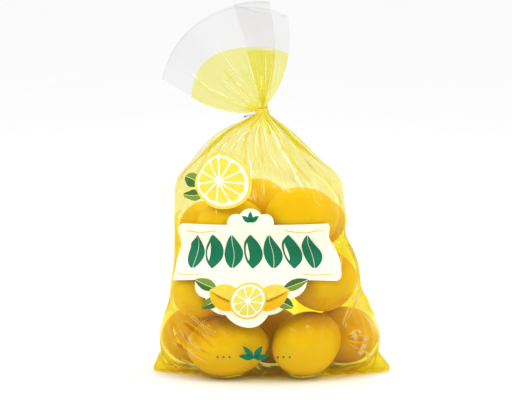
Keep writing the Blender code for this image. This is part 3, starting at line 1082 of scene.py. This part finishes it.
def make_glints(sheet, tuck_shade):
    """Painted highlights and painted shade: bright and dark strips along the sharpest creases, pleats and
    folds of the film.
    """
    rng = np.random.default_rng(23)

    def column_of(number):
        spot = (number + rng.uniform(-0.4, 0.4)) / GLINTS
        return (0.5 + 0.5 * spot) * FILM_COLUMNS

    white, golden, dark = [], [], []
    for points, _, _, look in crease_lines():
        widths = rng.uniform((0.8, 0.9, 3.0), (1.6, 1.6, 5.5)) * MM
        cells = sheet.met(points)
        # a strip of painted shade just below each golden crease highlight
        beside = sheet.met(points + np.array([0, -2.4]))
        if look == "white" and cells is not None:
            white.append(sheet.streak(cells, widths[0]))
        if look == "golden" and cells is not None:
            golden.append(sheet.streak(cells, widths[1], 0.6))
        if look == "golden" and beside is not None:
            dark.append(sheet.streak(beside, widths[2], 0.9))
    for number in range(GLINTS):
        column = column_of(number)
        rows = BODY_ROWS - np.linspace(rng.uniform(14, 50), rng.uniform(1, 10), 9)
        drift = rng.uniform(-3, 3) * np.linspace(1, 0, 9) ** 2
        width = rng.uniform(0.5, 1.0) * (2.2 if number % 4 == 0 else 1) * MM
        white.append(sheet.streak(np.stack([column + drift, rows], axis=1), width))
    for number in range(GLINTS):
        column = column_of(number)
        low = BODY_ROWS + rng.uniform(3, 14)
        rows = np.linspace(low, low + rng.uniform(8, 34), 9)
        cells = np.stack([column + 0 * rows, rows], axis=1)
        white.append(sheet.streak(cells, rng.uniform(0.4, 1.0) * MM))
    # painted highlights: white mirror strips and golden strips laid along the creases and pleats
    glint = highlight_strip_material("film_glint", (0.98, 0.98, 0.9, 1), 0.1, 0.55, 1.0)
    golden_highlight = highlight_strip_material("film_crease_highlight", (0.93, 0.76, 0.01, 1), 0.25, 0.7, 0.0)
    ink("film_glints", sheet, white, glint, "film", 0.12 * MM)
    ink("film_crease_highlights", sheet, golden, golden_highlight, "film", 0.12 * MM)
    ink("film_tuck_shades", sheet, dark, tuck_shade, "film", 0.08 * MM)


# --- Tie, floor, light and camera ---


def dress_tie():
    """The wire: a worn pinkish-grey coat, yellow film round its coil and a dark cut tip."""
    shader = Shader("wire_coat")
    worn = shader.noise(900.0, 4.0)
    coat = shader.ramp(worn, (0.3, (0.40, 0.33, 0.33, 1)), (0.7, (0.58, 0.50, 0.50, 1)))
    yellow = shader.ramp(worn, (0.3, (0.68, 0.55, 0.04, 1)), (0.7, (0.86, 0.74, 0.09, 1)))
    across = shader.node("ShaderNodeSeparateXYZ", {"Vector": shader.place()}).outputs["X"]
    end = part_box("tie")[0].x
    coil = shader.ranged(across, COIL_START - 2 * MM, COIL_START + 1 * MM)
    cut = shader.ranged(across, end + DARK_TIP, end + 0.6 * DARK_TIP)
    shader.set(
        Base_Color=shader.mixed(cut, shader.mixed(coil, coat, yellow), (0.05, 0.045, 0.05, 1)),
        Roughness=shader.ramp(worn, (0.3, grey(0.35)), (0.7, grey(0.55))),
        Normal=shader.bump(worn, 0.3, 0.0001),
    )
    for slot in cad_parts["tie"].material_slots:
        slot.material = shader.material


def make_floor():
    shader = Shader("floor")
    shade = shader.ramp(shader.noise(3.0), (0.3, grey(0.88)), (0.7, grey(0.89)))
    shader.set(Base_Color=shade, Roughness=0.7)
    data = bpy.data.meshes.new("floor")
    half = 30.0
    corners = [(-half, -half, 0), (half, -half, 0), (half, half, 0), (-half, half, 0)]
    data.from_pydata(corners, [], [(0, 1, 2, 3)])
    data.materials.append(shader.material)
    floor = add_object("floor", data)
    floor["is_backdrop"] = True


def aim_at(thing, place, aim):
    """Sets a light or camera at place, looking at aim."""
    thing.location = place
    thing.rotation_euler = (Vector(aim) - Vector(place)).to_track_quat("-Z", "Y").to_euler()


def light_scene():
    """A pale studio: white behind and below, dimmer in front, and tall soft boxes."""
    world = bpy.data.worlds.new("studio")
    world.use_nodes = True
    nodes = Nodes(world.node_tree)
    where = nodes.node("ShaderNodeTexCoord").outputs["Generated"]
    front = nodes.node("ShaderNodeVectorMath", {0: where, 1: DIM_WAY}, operation="DOT_PRODUCT")
    ends = (0.3, 0.9, WORLD_BRIGHT, WORLD_DIM)
    shade = nodes.ranged(front.outputs["Value"], *ends, interpolation_type="SMOOTHSTEP")
    rays = nodes.node("ShaderNodeLightPath").outputs["Is Camera Ray"]
    seen = nodes.node("ShaderNodeMix", {"Factor": rays, "A": shade, "B": 1.0})
    background = nodes.tree.nodes["Background"].inputs
    nodes.put(background["Strength"], seen.outputs["Result"])
    nodes.put(background["Color"], grey(1.0))
    bpy.context.scene.world = world
    for name, place, size, power in SOFT_BOXES:
        lamp = bpy.data.lights.new(name, "AREA")
        lamp.shape = "RECTANGLE"
        lamp.size, lamp.size_y = size
        lamp.energy = power
        aim_at(add_object(name, lamp), place, BOX_AIM)


def add_camera():
    lens = bpy.data.cameras.new("camera")
    lens.sensor_width = 36
    lens.lens = CAMERA_LENS
    camera = add_object("camera", lens)
    rise = math.radians(CAMERA_RISE)
    back = Vector((0, -math.cos(rise), math.sin(rise)))
    aim_at(camera, Vector(CAMERA_AIM) + CAMERA_FAR * back, CAMERA_AIM)
    bpy.context.scene.camera = camera


def main():
    scene = bpy.context.scene
    scene.view_settings.view_transform = "Standard"
    scene.cycles.transparent_max_bounces = 32
    add_camera()
    centres, *shapes = lemon_shapes()
    lemons = (settle(centres, *shapes), *shapes)
    peel = peel_material()
    for number, lemon in enumerate(zip(*lemons), 1):
        make_lemon(f"lemon_{number:02d}", *lemon, number, peel)
    mirror = (0.98, 0.96, 0.62, 1)
    films = [
        film_material("film_tinted", (0.958, 0.938, 0.575, 1), mirror, 0.22),
        film_material("film_clear", (0.965, 0.962, 0.961, 1), grey(0.97), 0.3),
        film_material("film_gathered", (0.94, 0.905, 0.40, 1), mirror, 0.36),
        film_material("film_edge", (0.93, 0.925, 0.926, 1), grey(0.97), 0.6),
        film_material("film_folded", (0.925, 0.835, 0.10, 1), mirror, 0.3),
    ]
    sheet = Sheet(make_film(lemons, films))
    make_prints(sheet)
    # darker gold film for the strips of painted shade in the crease valleys, tinted like film folded on
    # itself
    make_glints(sheet, film_material("film_tuck_shade", (0.84, 0.68, 0.05, 1), mirror, 0.25))
    dress_tie()
    make_floor()
    light_scene()
    sizes = [[list(corner) for corner in (CAD_LOW, CAD_HIGH)], [list(corner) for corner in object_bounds()]]


main()
